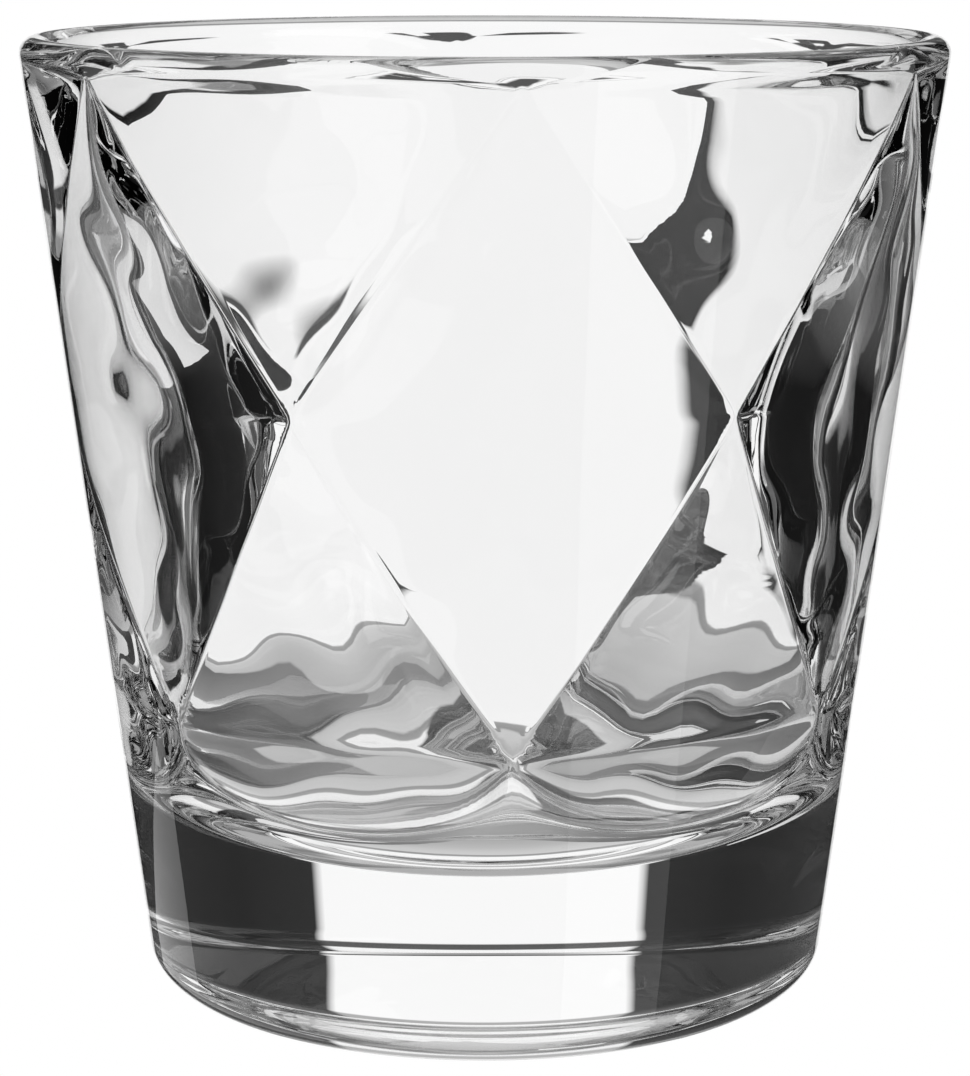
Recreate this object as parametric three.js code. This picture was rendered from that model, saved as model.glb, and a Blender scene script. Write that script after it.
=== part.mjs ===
// A pressed clear-glass whiskey tumbler, in millimetres, standing on z = 0 with its axis on +Z.
//
// The outside is a plain cone between a rounded heel and a rounded lip. The pattern is on the inside wall:
// six tall diamond faces stand side by side, their corners meeting at mid height, with a triangle between each
// two above and below. So the inside is nearly round under the lip, six-sided at mid height, and six-sided the
// other way round above the bowl of the cup.
import * as THREE from 'three';
import { mergeVertices } from 'three/addons/utils/BufferGeometryUtils.js';

// Outside
const HEIGHT = 96;
const RIM_RADIUS = 46; // where the cone of the wall would meet the top plane
const BASE_RADIUS = 34; // where it would meet the table
const LIP_RADIUS = 1.65; // of the round over the top edge
const HEEL_WIDTH = 6; // the heel is a quarter of an ellipse: this far in
const HEEL_HEIGHT = 4.5; // and this far up
const FOOT_INNER_RADIUS = 26.5; // the flat standing ring lies between this and the heel
const RECESS_RADIUS = 24; // of the flat middle of the underside, which is raised off the table
const RECESS_DEPTH = 3.3;

// Diamond faces
const FACES = 6;
const FACE_TURN = THREE.MathUtils.degToRad(4.2); // the first face's direction, from -Y towards +X
const FACE_TOP = 93.7; // heights of the top tips, the corners and the bottom tips
const FACE_MIDDLE = 63.1;
const FACE_BOTTOM = 31;
const TOP_RADIUS = 43; // distances of the same points from the axis
const CORNER_RADIUS = 39.8;
const BOTTOM_RADIUS = 33.3;
const BEYOND_SLOPE = 0.13; // of the wall above the top tips and below the bottom tips
const UPPER_BULGE = 1; // how far the faces stand in from flat, above and below their corners
const LOWER_BULGE = 0.35;
const FOLD_REACH = 6; // the fold across a face at its corners is rounded this far up and down

// Triangles between the faces: the roundness of their section, from 0, flat, to 1, round about the axis
const ROUNDNESS_TOP = 0.85;
const ROUNDNESS_ABOVE_CORNER = 0.2;
const ROUNDNESS_BELOW_CORNER = 0;
const ROUNDNESS_BOTTOM = 0.1;

// Bottom of the cup
const BOWL_RADIUS = 33.9;
const BOWL_TOP = 33;
const BOWL_POWER = 2.6; // 2 is an ellipse, and more is squarer
const BOWL_SLOPE = 0.2; // of the wall where the bowl begins
const FLOOR_HEIGHT = 16.2;

// Mesh
const FACE_COLUMNS = 6;
const SECTOR_COLUMNS = 2 * FACE_COLUMNS;
const WALL_ROWS = 18;
const BOWL_ROWS = 10;
const CURVE_STEPS = 6;
const NARROWEST = THREE.MathUtils.degToRad(2); // half a face's columns where the face itself is narrower

const { lerp, clamp } = THREE.MathUtils;
const halfTurn = Math.PI / FACES;
const wallSlope = (RIM_RADIUS - BASE_RADIUS) / HEIGHT;
const wallAngle = Math.atan(wallSlope);
const wallRadius = (z) => BASE_RADIUS + wallSlope * z;
const middleDistance = CORNER_RADIUS * Math.cos(halfTurn); // of a face from the axis, at its corners
const upperSpan = FACE_TOP - FACE_MIDDLE;
const lowerSpan = FACE_MIDDLE - FACE_BOTTOM;
const foldAbove = (TOP_RADIUS - middleDistance - 2 * UPPER_BULGE) / upperSpan;
const foldBelow = (BOTTOM_RADIUS - middleDistance - 2 * LOWER_BULGE) / lowerSpan;
const fold = foldAbove + foldBelow; // how much steeper a face runs out above its corners than below them

// Points on an elliptical arc about a centre, from one angle to another
function arc(centreX, centreZ, halfWidth, halfHeight, from, to) {
  const points = [];
  for (let step = 0; step <= CURVE_STEPS; step += 1) {
    const angle = lerp(from, to, step / CURVE_STEPS);
    const x = centreX + halfWidth * Math.cos(angle);
    points.push(new THREE.Vector2(x, centreZ + halfHeight * Math.sin(angle)));
  }
  return points;
}

// Underside, heel and lip: everything outside the cup, from the axis round to the top of the inside wall
function outsideProfile() {
  const underside = [new THREE.Vector2(0, RECESS_DEPTH)];
  for (let step = 0; step <= CURVE_STEPS; step += 1) {
    const share = step / CURVE_STEPS;
    const z = (RECESS_DEPTH * (1 + Math.cos(Math.PI * share))) / 2;
    underside.push(new THREE.Vector2(lerp(RECESS_RADIUS, FOOT_INNER_RADIUS, share), z));
  }
  const heelAngle = -Math.atan((wallSlope * HEEL_HEIGHT) / HEEL_WIDTH);
  const heelTop = HEEL_HEIGHT * (1 + Math.sin(heelAngle));
  const heelCentre = wallRadius(heelTop) - HEEL_WIDTH * Math.cos(heelAngle);
  const heel = arc(heelCentre, HEEL_HEIGHT, HEEL_WIDTH, HEEL_HEIGHT, -Math.PI / 2, heelAngle);
  const lipCentreZ = HEIGHT - LIP_RADIUS;
  const lipCentre = wallRadius(lipCentreZ) - LIP_RADIUS / Math.cos(wallAngle);
  const lipOutside = arc(lipCentre, lipCentreZ, LIP_RADIUS, LIP_RADIUS, -wallAngle, Math.PI / 2);
  const lipInside = arc(lipCentre, lipCentreZ, LIP_RADIUS, LIP_RADIUS, Math.PI / 2, Math.PI - wallAngle);
  return [...underside, ...heel, ...lipOutside, ...lipInside.slice(1)];
}

// A face at a height: how far its plane is from the axis, and half its width
function faceSection(z) {
  const upper = z >= FACE_MIDDLE;
  const towardsTip = Math.min(Math.abs(z - FACE_MIDDLE) / (upper ? upperSpan : lowerSpan), 1);
  const beyond = Math.max(z - FACE_TOP, 0) - Math.max(FACE_BOTTOM - z, 0);
  return {
    upper,
    towardsTip,
    distance: lerp(middleDistance, upper ? TOP_RADIUS : BOTTOM_RADIUS, towardsTip) + BEYOND_SLOPE * beyond,
    halfWidth: (1 - towardsTip) * CORNER_RADIUS * Math.sin(halfTurn),
  };
}

// Distance from the axis of a diamond face at a height, at an angle from its centre
function faceRadius(z, offFace) {
  const { upper, towardsTip, distance, halfWidth } = faceSection(z);
  const bulge = 2 * towardsTip * (1 - towardsTip) * (upper ? UPPER_BULGE : LOWER_BULGE);
  const nearFold = 1 - Math.min(Math.abs(z - FACE_MIDDLE) / FOLD_REACH, 1);
  const rounding = (fold * FOLD_REACH * nearFold ** 2) / 4;
  const across = halfWidth > 0 ? Math.min(Math.abs((distance * Math.tan(offFace)) / halfWidth), 1) : 1;
  return (distance - (bulge - rounding) * (1 - across ** 2)) / Math.cos(offFace);
}

// Distance from the axis of the triangle between two faces, at an angle from its centre
function triangleRadius(z, offTriangle) {
  const { upper, towardsTip, distance, halfWidth } = faceSection(z);
  const roundness = upper
    ? lerp(ROUNDNESS_ABOVE_CORNER, ROUNDNESS_TOP, towardsTip)
    : lerp(ROUNDNESS_BELOW_CORNER, ROUNDNESS_BOTTOM, towardsTip);
  const edgeRadius = Math.hypot(distance, halfWidth);
  const halfAngle = halfTurn - Math.atan2(halfWidth, distance);
  const chordDistance = edgeRadius * Math.cos(halfAngle);
  if (roundness === 0) return chordDistance / Math.cos(offTriangle);
  const arcRadius = edgeRadius / roundness;
  const centre = chordDistance - Math.sqrt(arcRadius ** 2 - (edgeRadius * Math.sin(halfAngle)) ** 2);
  const along = Math.sqrt(arcRadius ** 2 - (centre * Math.sin(offTriangle)) ** 2);
  return centre * Math.cos(offTriangle) + along;
}

// Distance of the bowl of the cup from the axis: a rounded bottom that runs up into a cone
function bowlRadius(z) {
  const slope = BOWL_SLOPE * (z - BOWL_TOP);
  if (z >= BOWL_TOP) return BOWL_RADIUS + slope;
  const depth = (BOWL_TOP - z) / (BOWL_TOP - FLOOR_HEIGHT);
  return BOWL_RADIUS * (1 - depth ** BOWL_POWER) ** (1 / BOWL_POWER) + slope * (1 - depth ** 2);
}

// Distance of the inside wall from the axis, at an angle from a face's centre
function insideRadius(offFace, z) {
  const { distance, halfWidth } = faceSection(z);
  const onFace = Math.abs(offFace) <= Math.atan2(halfWidth, distance);
  const wall = onFace ? faceRadius(z, offFace) : triangleRadius(z, halfTurn - Math.abs(offFace));
  return Math.max(Math.min(wall, bowlRadius(z)), 0);
}

// Angle from a face's centre of one of its sector's columns: half of them fill the face, up to its edges
function columnAngle(column, z) {
  const { distance, halfWidth } = faceSection(z);
  const even = halfTurn / 2;
  const edge = clamp(Math.atan2(halfWidth, distance), NARROWEST, halfTurn - NARROWEST);
  const half = z > FACE_BOTTOM && z <= FACE_TOP ? edge : even;
  return column < FACE_COLUMNS
    ? lerp(-half, half, column / FACE_COLUMNS)
    : lerp(half, 2 * halfTurn - half, (column - FACE_COLUMNS) / FACE_COLUMNS);
}

// Heights of the rows down the inside, from the top tips to just above the middle of the floor
function insideHeights() {
  const heights = [];
  for (let row = 0; row <= WALL_ROWS; row += 1) {
    heights.push(lerp(FACE_TOP, BOWL_TOP, row / WALL_ROWS));
  }
  for (let row = 1; row < BOWL_ROWS; row += 1) {
    const depth = Math.sin((Math.PI / 2) * (row / BOWL_ROWS)) ** (2 / BOWL_POWER);
    heights.push(lerp(BOWL_TOP, FLOOR_HEIGHT, depth));
  }
  return heights;
}

// One turned body, whose inside rows are then pressed out to the faceted wall
function tumblerGeometry() {
  const outside = outsideProfile();
  const heights = insideHeights();
  const floor = new THREE.Vector2(0, FLOOR_HEIGHT);
  const profile = [...outside, ...heights.map((z) => new THREE.Vector2(1, z)), floor];
  const geometry = new THREE.LatheGeometry(profile, FACES * SECTOR_COLUMNS);
  const position = geometry.attributes.position;
  for (let index = 0; index < position.count; index += 1) {
    const row = index % profile.length;
    const turn = Math.floor(index / profile.length);
    const column = turn % SECTOR_COLUMNS;
    const sector = (Math.floor(turn / SECTOR_COLUMNS) % FACES) * 2 * halfTurn;
    const z = heights[row - outside.length];
    const offFace = columnAngle(column, z ?? HEIGHT);
    const nearest = offFace > halfTurn ? offFace - 2 * halfTurn : offFace;
    const radius = z === undefined ? profile[row].x : insideRadius(nearest, z);
    const direction = FACE_TURN + sector + offFace;
    position.setX(index, radius * Math.sin(direction));
    position.setZ(index, radius * Math.cos(direction));
  }
  geometry.deleteAttribute('normal');
  geometry.deleteAttribute('uv');
  geometry.rotateX(Math.PI / 2);
  return mergeVertices(geometry, 1e-4);
}

const glass = new THREE.MeshStandardMaterial({
  color: 0xf4f6f6,
  roughness: 0.02,
  metalness: 0,
  transparent: true,
  opacity: 0.35,
});

const tumbler = new THREE.Mesh(tumblerGeometry(), glass);
tumbler.name = 'glass_tumbler';

const model = new THREE.Group();
model.add(tumbler);

export default model;
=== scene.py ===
# A pressed clear-glass whiskey tumbler, empty, on a white studio sweep with a bright panel behind it.
#
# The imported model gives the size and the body. Its plain faceted solid is replaced by one fine mesh of the
# same shape, whose rows and columns follow the faces pressed into the inside wall.
import math

import bpy
import numpy as np
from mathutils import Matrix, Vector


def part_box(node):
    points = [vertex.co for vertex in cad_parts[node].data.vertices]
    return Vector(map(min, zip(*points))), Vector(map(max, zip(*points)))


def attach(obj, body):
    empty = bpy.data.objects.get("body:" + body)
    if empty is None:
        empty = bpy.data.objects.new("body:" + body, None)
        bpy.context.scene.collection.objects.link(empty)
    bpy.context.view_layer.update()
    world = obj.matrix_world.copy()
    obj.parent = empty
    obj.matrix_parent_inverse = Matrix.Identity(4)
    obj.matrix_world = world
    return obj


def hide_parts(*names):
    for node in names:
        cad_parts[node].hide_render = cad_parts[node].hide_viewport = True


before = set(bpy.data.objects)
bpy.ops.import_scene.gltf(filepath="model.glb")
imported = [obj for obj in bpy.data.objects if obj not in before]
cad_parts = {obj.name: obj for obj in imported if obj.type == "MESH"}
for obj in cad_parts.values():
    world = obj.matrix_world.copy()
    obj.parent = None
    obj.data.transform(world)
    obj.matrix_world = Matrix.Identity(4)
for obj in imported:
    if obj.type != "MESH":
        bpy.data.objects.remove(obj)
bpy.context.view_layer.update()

MM = 0.001
NODE = "glass_tumbler"

# ---- Sizes, in millimetres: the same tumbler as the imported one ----
low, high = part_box(NODE)
HEIGHT = (high[2] - low[2]) / MM
RIM_RADIUS = 46.0  # where the cone of the wall meets the top plane
BASE_RADIUS = 34.0  # where it meets the floor
LIP_RADIUS = 1.65
HEEL_WIDTH = 6.0
HEEL_HEIGHT = 4.5
FOOT_INNER_RADIUS = 26.5  # the flat standing ring lies between this and the heel
RECESS_RADIUS = 24.0  # of the flat middle of the underside, which is raised off the table
RECESS_DEPTH = 3.3

FACES = 6
FACE_TURN = math.radians(4.2)  # first face's direction, from -Y towards +X
FACE_TOP = 93.7  # heights of a face's top tip, corners and bottom tip
FACE_MIDDLE = 63.1
FACE_BOTTOM = 31.0
TOP_RADIUS = 43.0  # distances of the same points from the axis
CORNER_RADIUS = 39.8
BOTTOM_RADIUS = 33.3
BEYOND_SLOPE = 0.13  # of the wall above the top tips and below the bottom tips
UPPER_BULGE = 1.0  # how far the faces stand in from flat
LOWER_BULGE = 0.35
FOLD_REACH = 6.0  # the fold at mid height is rounded this far up and down
EDGE_SOFTNESS = 0.55  # half the width of a softened edge

# Triangles between the faces: the roundness of their section, from 0, flat, to 1, round about the axis
ROUNDNESS_TOP = 0.85
ROUNDNESS_ABOVE_CORNER = 0.2
ROUNDNESS_BELOW_CORNER = 0.0
ROUNDNESS_BOTTOM = 0.1

BOWL_RADIUS = 33.9
BOWL_TOP = 33.0
BOWL_POWER = 2.6
BOWL_SLOPE = 0.2
BOWL_SOFTNESS = 0.3
FLOOR_HEIGHT = 16.2

WAVE_HEIGHT = 0.3
# waves round the wall, height of one wave up it, and shift
WAVES = ((4, 31.0, 0.4), (7, 23.0, 1.9), (11, 37.0, 3.1), (15, 19.0, 4.6), (19, 14.0, 5.5))

# ---- Mesh fineness ----
FACE_COLUMNS = 20
EDGE_COLUMNS = 6
BETWEEN_COLUMNS = 20
NARROWEST = math.radians(1.0)  # half a face's columns, where the face itself is narrower
TOP_SPREAD = 1.5  # columns go back to even spacing over this height above the top tips
BOTTOM_SPREAD = 6.0  # and over this height about the bottom tips
UNDERSIDE_ROWS = 8
FIRST_ROW = 0.1  # share of the recess's radius at its innermost row
RECESS_SLOPE_ROWS = 12
HEEL_ROWS = 26
OUTER_WALL_ROWS = 16
LIP_ROWS = 30
LIP_END = 0.1  # radians short of level, where the round of the lip ends inside
BELOW_LIP = 3.0  # the rows are finer over this height below the lip
BELOW_LIP_ROWS = 9
LIP_BLEND = 2.0  # height over which the lip runs out into the faceted wall
WALL_ROWS = 130
BOWL_ROWS = 60
LEAST = 0.001  # keeps a width or a radius from reaching nothing

HALF_TURN = math.pi / FACES
UPPER_SPAN = FACE_TOP - FACE_MIDDLE
LOWER_SPAN = FACE_MIDDLE - FACE_BOTTOM
MIDDLE_DISTANCE = CORNER_RADIUS * math.cos(HALF_TURN)  # of a face from the axis, at its corners
FOLD = (TOP_RADIUS - MIDDLE_DISTANCE) / UPPER_SPAN - (MIDDLE_DISTANCE - BOTTOM_RADIUS) / LOWER_SPAN
FOLD -= 2 * UPPER_BULGE / UPPER_SPAN + 2 * LOWER_BULGE / LOWER_SPAN  # change of slope at the corners


def wall_radius(z):
    """Outside radius of the straight wall."""
    return BASE_RADIUS + (RIM_RADIUS - BASE_RADIUS) * z / HEIGHT


def outside_profile():
    """(radius, height) points from the middle of the underside round to the inside of the lip."""
    slope = (RIM_RADIUS - BASE_RADIUS) / HEIGHT
    heel_end = math.atan(-slope * HEEL_HEIGHT / HEEL_WIDTH)
    join = HEEL_HEIGHT * (1 + math.sin(heel_end))
    heel_centre = wall_radius(join) - HEEL_WIDTH * math.cos(heel_end)
    points = []
    for share in np.linspace(FIRST_ROW, 1.0, UNDERSIDE_ROWS):
        points.append((RECESS_RADIUS * share, RECESS_DEPTH))
    for share in np.linspace(0.0, 1.0, RECESS_SLOPE_ROWS + 1)[1:]:
        radius = RECESS_RADIUS + (FOOT_INNER_RADIUS - RECESS_RADIUS) * share
        points.append((radius, RECESS_DEPTH * (1 + math.cos(math.pi * share)) / 2))
    for angle in np.linspace(-math.pi / 2, heel_end, HEEL_ROWS):
        points.append((heel_centre + HEEL_WIDTH * math.cos(angle), HEEL_HEIGHT * (1 + math.sin(angle))))
    lean = math.atan(slope)
    lip_height = HEIGHT - LIP_RADIUS
    lip_centre = wall_radius(lip_height) - LIP_RADIUS / math.cos(lean)
    for z in np.linspace(join, lip_height, OUTER_WALL_ROWS)[1:-1]:
        points.append((wall_radius(z), z))
    for angle in np.linspace(-lean, math.pi - LIP_END, LIP_ROWS):
        radius = lip_centre + LIP_RADIUS * math.cos(angle)
        points.append((radius, lip_height + LIP_RADIUS * math.sin(angle)))
    return points


def smooth(share):
    """A share from 0 to 1 that starts and ends gently."""
    return share * share * (3 - 2 * share)


def soft_min(a, b, softness):
    """The smaller of two distances, with the edge between them rounded."""
    least = np.minimum(a, b)
    return least - softness * np.log(np.exp((least - a) / softness) + np.exp((least - b) / softness))


def face_section(z):
    """A face at height z: whether in its upper half, share of the way to its tip, distance, half width."""
    upper = z >= FACE_MIDDLE
    span = UPPER_SPAN if upper else -LOWER_SPAN
    to_tip = min((z - FACE_MIDDLE) / span, 1.0)
    distance = MIDDLE_DISTANCE + to_tip * ((TOP_RADIUS if upper else BOTTOM_RADIUS) - MIDDLE_DISTANCE)
    distance += BEYOND_SLOPE * (max(z - FACE_TOP, 0) - max(FACE_BOTTOM - z, 0))
    half_width = max((1 - to_tip) * CORNER_RADIUS * math.sin(HALF_TURN), LEAST)
    return upper, to_tip, distance, half_width


def face_radius(z, off_face):
    """Radius of a diamond face, at angles from its centre."""
    upper, to_tip, distance, half_width = face_section(z)
    bulge = 2 * to_tip * (1 - to_tip) * (UPPER_BULGE if upper else LOWER_BULGE)
    from_fold = min(abs(z - FACE_MIDDLE) / FOLD_REACH, 1.0)
    bulge -= FOLD * FOLD_REACH * (1 - from_fold) ** 2 / 4
    across = np.clip(distance * np.tan(off_face) / half_width, -1, 1)
    return (distance - bulge * (1 - across**2)) / np.cos(off_face)


def between_radius(z, off_between):
    """Radius of the triangle between two faces, at angles from its centre: an arc between its edges."""
    upper, to_tip, distance, half_width = face_section(z)
    at_corner = ROUNDNESS_ABOVE_CORNER if upper else ROUNDNESS_BELOW_CORNER
    at_tip = ROUNDNESS_TOP if upper else ROUNDNESS_BOTTOM
    roundness = max(at_corner + (at_tip - at_corner) * to_tip, LEAST)
    edge_radius = math.hypot(distance, half_width)
    half_angle = HALF_TURN - math.atan2(half_width, distance)
    arc_radius = edge_radius / roundness
    chord = edge_radius * math.cos(half_angle)
    centre = chord - math.sqrt(arc_radius**2 - (edge_radius * math.sin(half_angle)) ** 2)
    return centre * np.cos(off_between) + np.sqrt(arc_radius**2 - (centre * np.sin(off_between)) ** 2)


def bowl_radius(z):
    """Radius of the rounded bottom of the cup."""
    if z >= BOWL_TOP:
        return BOWL_RADIUS + BOWL_SLOPE * (z - BOWL_TOP)
    depth = min((BOWL_TOP - z) / (BOWL_TOP - FLOOR_HEIGHT), 1.0)
    lean = BOWL_SLOPE * (BOWL_TOP - z) * (1 - depth**2)
    return max(BOWL_RADIUS * (1 - depth**BOWL_POWER) ** (1 / BOWL_POWER) - lean, LEAST)


def edge_angles(z):
    """Angle from a face's centre to its edge, and half the angle of the softening there, at height z."""
    _, _, distance, half_width = face_section(z)
    return math.atan2(half_width, distance), EDGE_SOFTNESS / math.hypot(distance, half_width)


def waves(angles, z):
    """The slight waviness of the pressed inside wall."""
    total = np.zeros_like(angles)
    for around, length, shift in WAVES:
        total += np.sin(around * angles + shift) * math.cos(2 * math.pi * z / length + shift)
    return WAVE_HEIGHT * total / len(WAVES)


def inside_radius(off_face, z):
    """Radius of the inside wall."""
    edge, soft = edge_angles(z)
    share = smooth(np.clip((np.abs(off_face) - edge) / soft / 2 + 0.5, 0, 1))
    off_between = HALF_TURN - np.abs(off_face)
    wall = face_radius(z, off_face) * (1 - share) + between_radius(z, off_between) * share
    return soft_min(wall, np.full_like(wall, bowl_radius(z)), BOWL_SOFTNESS)


def column_angles(z):
    """Column angles over one sector, from a face's centre: the face, its edge, between, the next edge."""
    edge, soft = edge_angles(z)
    even = HALF_TURN / 2
    edge = min(max(edge, NARROWEST + soft), HALF_TURN - NARROWEST - soft)
    edge = edge + (even - edge) * float(np.clip((z - FACE_TOP) / TOP_SPREAD, 0, 1))
    edge = edge + (even - edge) * float(np.clip((FACE_BOTTOM - z) / BOTTOM_SPREAD + 0.5, 0, 1))
    return np.concatenate([
        np.linspace(-edge + soft, edge - soft, FACE_COLUMNS, endpoint=False),
        np.linspace(edge - soft, edge + soft, EDGE_COLUMNS, endpoint=False),
        np.linspace(edge + soft, 2 * HALF_TURN - edge - soft, BETWEEN_COLUMNS, endpoint=False),
        np.linspace(2 * HALF_TURN - edge - soft, 2 * HALF_TURN - edge + soft, EDGE_COLUMNS, endpoint=False),
    ])


def ring(angles, radius, z):
    """One closed row of points round the axis."""
    heights = np.broadcast_to(z, angles.shape)
    return np.stack([radius * np.sin(angles), -radius * np.cos(angles), heights], axis=1)


def all_round(sector):
    """A sector's column angles, repeated for every face."""
    turns = np.arange(FACES) * 2 * math.pi / FACES
    return (turns[:, None] + sector[None, :]).ravel() + FACE_TURN


def inside_row(z, wave_share):
    """Angles all round the inside wall at height z, and the wall's radius at each."""
    sector = column_angles(z)
    off_face = (sector + HALF_TURN) % (2 * HALF_TURN) - HALF_TURN
    angles = all_round(sector)
    return angles, np.tile(inside_radius(off_face, z), FACES) + waves(angles, z) * wave_share


def inside_rows(lip_radius, lip_height):
    """Rows down the inside, from the lip to the middle of the floor."""
    rows = []
    heights = np.concatenate([
        np.linspace(lip_height, lip_height - BELOW_LIP, BELOW_LIP_ROWS)[1:],
        np.linspace(lip_height - BELOW_LIP, BOWL_TOP, WALL_ROWS)[1:],
    ])
    for z in heights:
        angles, radius = inside_row(z, 1.0)
        blend = smooth(min(1.0, (lip_height - z) / LIP_BLEND))
        rows.append(ring(angles, lip_radius * (1 - blend) + radius * blend, z))
    for step in range(1, BOWL_ROWS + 1):
        angle = step / (BOWL_ROWS + 1) * math.pi / 2
        depth = (1 - math.cos(angle) ** 2) ** (1 / BOWL_POWER)
        z = BOWL_TOP - depth * (BOWL_TOP - FLOOR_HEIGHT)
        rows.append(ring(*inside_row(z, 1 - depth), z))
    return rows


def tumbler_mesh():
    """The whole glass as one closed mesh of rings."""
    columns = FACES * (FACE_COLUMNS + BETWEEN_COLUMNS + 2 * EDGE_COLUMNS)
    even = np.linspace(0, 2 * HALF_TURN, columns // FACES, endpoint=False) - HALF_TURN / 2
    outside = outside_profile()
    rows = [ring(all_round(even), radius, z) for radius, z in outside]
    rows += inside_rows(*outside[-1])
    points = np.concatenate([[[0, 0, RECESS_DEPTH]], *rows, [[0, 0, FLOOR_HEIGHT]]]) * MM

    def at(row, column):
        return 1 + row * columns + column % columns

    last = len(points) - 1
    faces = []
    for column in range(columns):
        faces.append((0, at(0, column + 1), at(0, column)))
        faces.append((at(len(rows) - 1, column), at(len(rows) - 1, column + 1), last))
    for row in range(len(rows) - 1):
        for column in range(columns):
            below = (at(row, column), at(row, column + 1))
            faces.append((*below, at(row + 1, column + 1), at(row + 1, column)))
    mesh = bpy.data.meshes.new("tumbler")
    mesh.from_pydata(points.tolist(), [], faces)
    mesh.polygons.foreach_set("use_smooth", [True] * len(mesh.polygons))
    mesh.update()
    return mesh


# ---- Materials ----
GLASS_IOR = 1.52
RIPPLE_SCALE = 55.0  # of the noise, in a metre
RIPPLE_HEIGHT = 0.05
POLISH_SCALE = 220.0
POLISH_DETAIL = 3.0
DULL_FROM = 0.5  # of the noise, where the polish starts to fall off, and where it is at its dullest
DULL_TO = 0.8
ROUGHEST = 0.02


def new_nodes(owner):
    """The emptied node tree of a material or world, as its nodes and links."""
    owner.use_nodes = True
    owner.node_tree.nodes.clear()
    return owner.node_tree.nodes, owner.node_tree.links


def clear_glass():
    """Colourless glass whose surface ripples a little and is here and there a touch less polished."""
    material = bpy.data.materials.new("clear_glass")
    nodes, links = new_nodes(material)
    output = nodes.new("ShaderNodeOutputMaterial")
    shader = nodes.new("ShaderNodeBsdfPrincipled")
    shader.inputs["Base Color"].default_value = (1, 1, 1, 1)
    shader.inputs["IOR"].default_value = GLASS_IOR
    shader.inputs["Transmission Weight"].default_value = 1.0
    place = nodes.new("ShaderNodeTexCoord")

    ripples = nodes.new("ShaderNodeTexNoise")
    ripples.inputs["Scale"].default_value = RIPPLE_SCALE
    ripples.inputs["Detail"].default_value = 0.0
    links.new(place.outputs["Object"], ripples.inputs["Vector"])
    bump = nodes.new("ShaderNodeBump")
    bump.inputs["Strength"].default_value = 1.0
    bump.inputs["Distance"].default_value = RIPPLE_HEIGHT * MM
    links.new(ripples.outputs["Fac"], bump.inputs["Height"])
    links.new(bump.outputs["Normal"], shader.inputs["Normal"])

    polish = nodes.new("ShaderNodeTexNoise")
    polish.inputs["Scale"].default_value = POLISH_SCALE
    polish.inputs["Detail"].default_value = POLISH_DETAIL
    links.new(place.outputs["Object"], polish.inputs["Vector"])
    spread = nodes.new("ShaderNodeMapRange")
    spread.inputs["From Min"].default_value = DULL_FROM
    spread.inputs["From Max"].default_value = DULL_TO
    spread.inputs["To Min"].default_value = 0.0
    spread.inputs["To Max"].default_value = ROUGHEST
    links.new(polish.outputs["Fac"], spread.inputs["Value"])
    links.new(spread.outputs["Result"], shader.inputs["Roughness"])
    links.new(shader.outputs[0], output.inputs["Surface"])
    return material


def white_floor():
    """White to the camera, and clear to the light in the glass, which the studio reaches from below."""
    material = bpy.data.materials.new("white_floor")
    nodes, links = new_nodes(material)
    output = nodes.new("ShaderNodeOutputMaterial")
    mix = nodes.new("ShaderNodeMixShader")
    path = nodes.new("ShaderNodeLightPath")
    clear = nodes.new("ShaderNodeBsdfTransparent")
    white = nodes.new("ShaderNodeEmission")
    links.new(path.outputs["Is Camera Ray"], mix.inputs[0])
    links.new(clear.outputs[0], mix.inputs[1])
    links.new(white.outputs[0], mix.inputs[2])
    links.new(mix.outputs[0], output.inputs["Surface"])
    return material


# ---- The glass ----
tumbler = bpy.data.objects.new("tumbler", tumbler_mesh())
bpy.context.scene.collection.objects.link(tumbler)
tumbler.data.materials.append(clear_glass())
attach(tumbler, "root")
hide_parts(NODE)

# ---- The studio ----
PANEL_HALF_WIDTH = 17.3  # degrees of azimuth, seen from the glass
PANEL_TURN = -0.6
PANEL_SOFT = 0.7
# brightness by degrees of elevation, in the panel's direction: grey table, its dark far edge, the panel,
# a dark bar, the window over it and a dim ceiling
PANEL = (
    (-90, 0.35), (-55, 0.5), (-45, 0.6), (-36, 0.65),
    (-34.5, 0.3), (-30, 0.36),
    (-28.5, 1.0), (3.3, 1.0),
    (3.8, 0.08), (11.0, 0.08),
    (12.0, 1.0), (20, 1.0),
    (24, 0.45), (90, 0.4),
)
# the same to the panel's sides: nearly black level with the glass, and lighter below and above
SIDES = (
    (-90, 0.4), (-60, 0.2), (-45, 0.12), (-26, 0.05),
    (-16, 0.008), (12, 0.008),
    (25, 0.05), (50, 0.18), (90, 0.3),
)
# further soft windows: azimuth and half its width, lowest and highest elevation, brightness
WINDOWS = ((-45, 15, -60, -20, 0.8), (135, 18, -50, 20, 0.95), (-90, 12, -9, 12, 0.8))
# brightness added by degrees from the panel's middle
BACK = ((0, 0.0), (92, 0.0), (104, 0.1), (135, 0.35), (180, 0.2))


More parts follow.
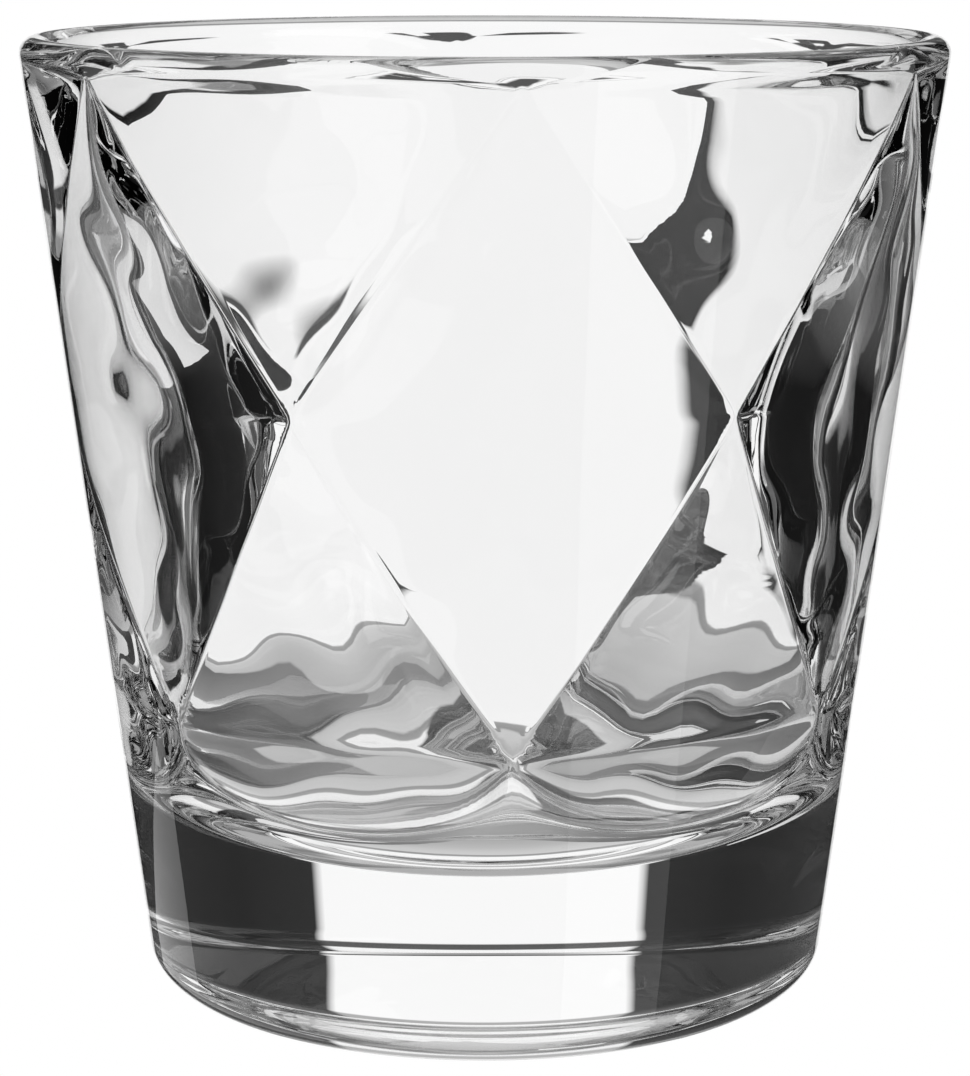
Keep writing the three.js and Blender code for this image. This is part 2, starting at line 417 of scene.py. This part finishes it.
def studio_world():
    """What the glass refracts and reflects. The camera itself sees plain white round the glass."""
    world = bpy.data.worlds.new("studio")
    bpy.context.scene.world = world
    nodes, links = new_nodes(world)

    def maths(operation, *values):
        """A maths node's output, for numbers or other nodes' outputs."""
        node = nodes.new("ShaderNodeMath")
        node.operation = operation
        for socket, value in zip(node.inputs, values):
            if isinstance(value, (int, float)):
                socket.default_value = value
            else:
                links.new(value, socket)
        return node.outputs[0]

    def ramp(degrees, lowest, highest, levels):
        """Brightness by angle, straight between the levels given."""
        node = nodes.new("ShaderNodeValToRGB")
        links.new(maths("DIVIDE", maths("SUBTRACT", degrees, lowest), highest - lowest), node.inputs[0])
        stops = node.color_ramp.elements
        for _ in levels[2:]:
            stops.new(0.5)
        for stop, (angle, value) in zip(stops, levels):
            stop.position = (angle - lowest) / (highest - lowest)
            stop.color = (value, value, value, 1)
        return node.outputs[0]

    direction = nodes.new("ShaderNodeTexCoord")
    parts = nodes.new("ShaderNodeSeparateXYZ")
    links.new(direction.outputs["Generated"], parts.inputs[0])
    azimuth = maths("DEGREES", maths("ARCTAN2", parts.outputs[0], parts.outputs[1]))
    elevation = maths("DEGREES", maths("ARCSINE", parts.outputs[2]))
    windows = 0.0
    for centre, half_width, lowest, highest, brightness in WINDOWS:
        across = maths("COMPARE", azimuth, centre, half_width)
        up = maths("COMPARE", elevation, (lowest + highest) / 2, (highest - lowest) / 2)
        windows = maths("MAXIMUM", windows, maths("MULTIPLY", maths("MULTIPLY", across, up), brightness))
    azimuth = maths("ABSOLUTE", maths("ADD", azimuth, PANEL_TURN))

    edge = ((0, 1.0), (PANEL_HALF_WIDTH, 1.0), (PANEL_HALF_WIDTH + PANEL_SOFT, 0.0), (180, 0.0))
    in_panel = ramp(azimuth, 0, 180, edge)
    panel = maths("MULTIPLY", ramp(elevation, -90, 90, PANEL), in_panel)
    sides = maths("ADD", ramp(elevation, -90, 90, SIDES), ramp(azimuth, 0, 180, BACK))
    light = maths("ADD", panel, maths("MULTIPLY", sides, maths("SUBTRACT", 1.0, in_panel)))

    path = nodes.new("ShaderNodeLightPath")
    seen = maths("MAXIMUM", maths("MAXIMUM", light, windows), path.outputs["Is Camera Ray"])
    background = nodes.new("ShaderNodeBackground")
    output = nodes.new("ShaderNodeOutputWorld")
    links.new(seen, background.inputs["Color"])
    links.new(background.outputs[0], output.inputs[0])


studio_world()

FLOOR_SIZE = 6.0
FLOOR_DROP = 0.0002  # keeps the floor from touching the standing ring
floor_mesh = bpy.data.meshes.new("floor")
half = FLOOR_SIZE / 2
corners = [(-half, -half, 0), (half, -half, 0), (half, half, 0), (-half, half, 0)]
floor_mesh.from_pydata(corners, [], [(0, 1, 2, 3)])
floor = bpy.data.objects.new("floor", floor_mesh)
floor.location.z = -FLOOR_DROP
bpy.context.scene.collection.objects.link(floor)
floor_mesh.materials.append(white_floor())

# ---- The camera: in front of the glass and a little above it, looking down ----
CAMERA_DISTANCE = 0.350
CAMERA_HEIGHT = 0.111866
CAMERA_PITCH = 0.1882
CAMERA_LENS = 117.33
SENSOR_WIDTH = 36
CLIP_START = 0.01
camera_data = bpy.data.cameras.new("camera")
camera_data.sensor_width = SENSOR_WIDTH
camera_data.lens = CAMERA_LENS
camera = bpy.data.objects.new("camera", camera_data)
camera.location = (0, -CAMERA_DISTANCE, CAMERA_HEIGHT)
camera.rotation_euler = (math.pi / 2 - CAMERA_PITCH, 0, 0)
camera_data.clip_start = CLIP_START
bpy.context.scene.collection.objects.link(camera)
bpy.context.scene.camera = camera

# ---- Light paths: enough bounces for light to cross both walls and the base ----
GLASS_BOUNCES = 24
OTHER_BOUNCES = 16
scene = bpy.context.scene
scene.view_settings.view_transform = "Standard"
scene.cycles.max_bounces = GLASS_BOUNCES
scene.cycles.transmission_bounces = GLASS_BOUNCES
scene.cycles.glossy_bounces = OTHER_BOUNCES
scene.cycles.transparent_max_bounces = OTHER_BOUNCES
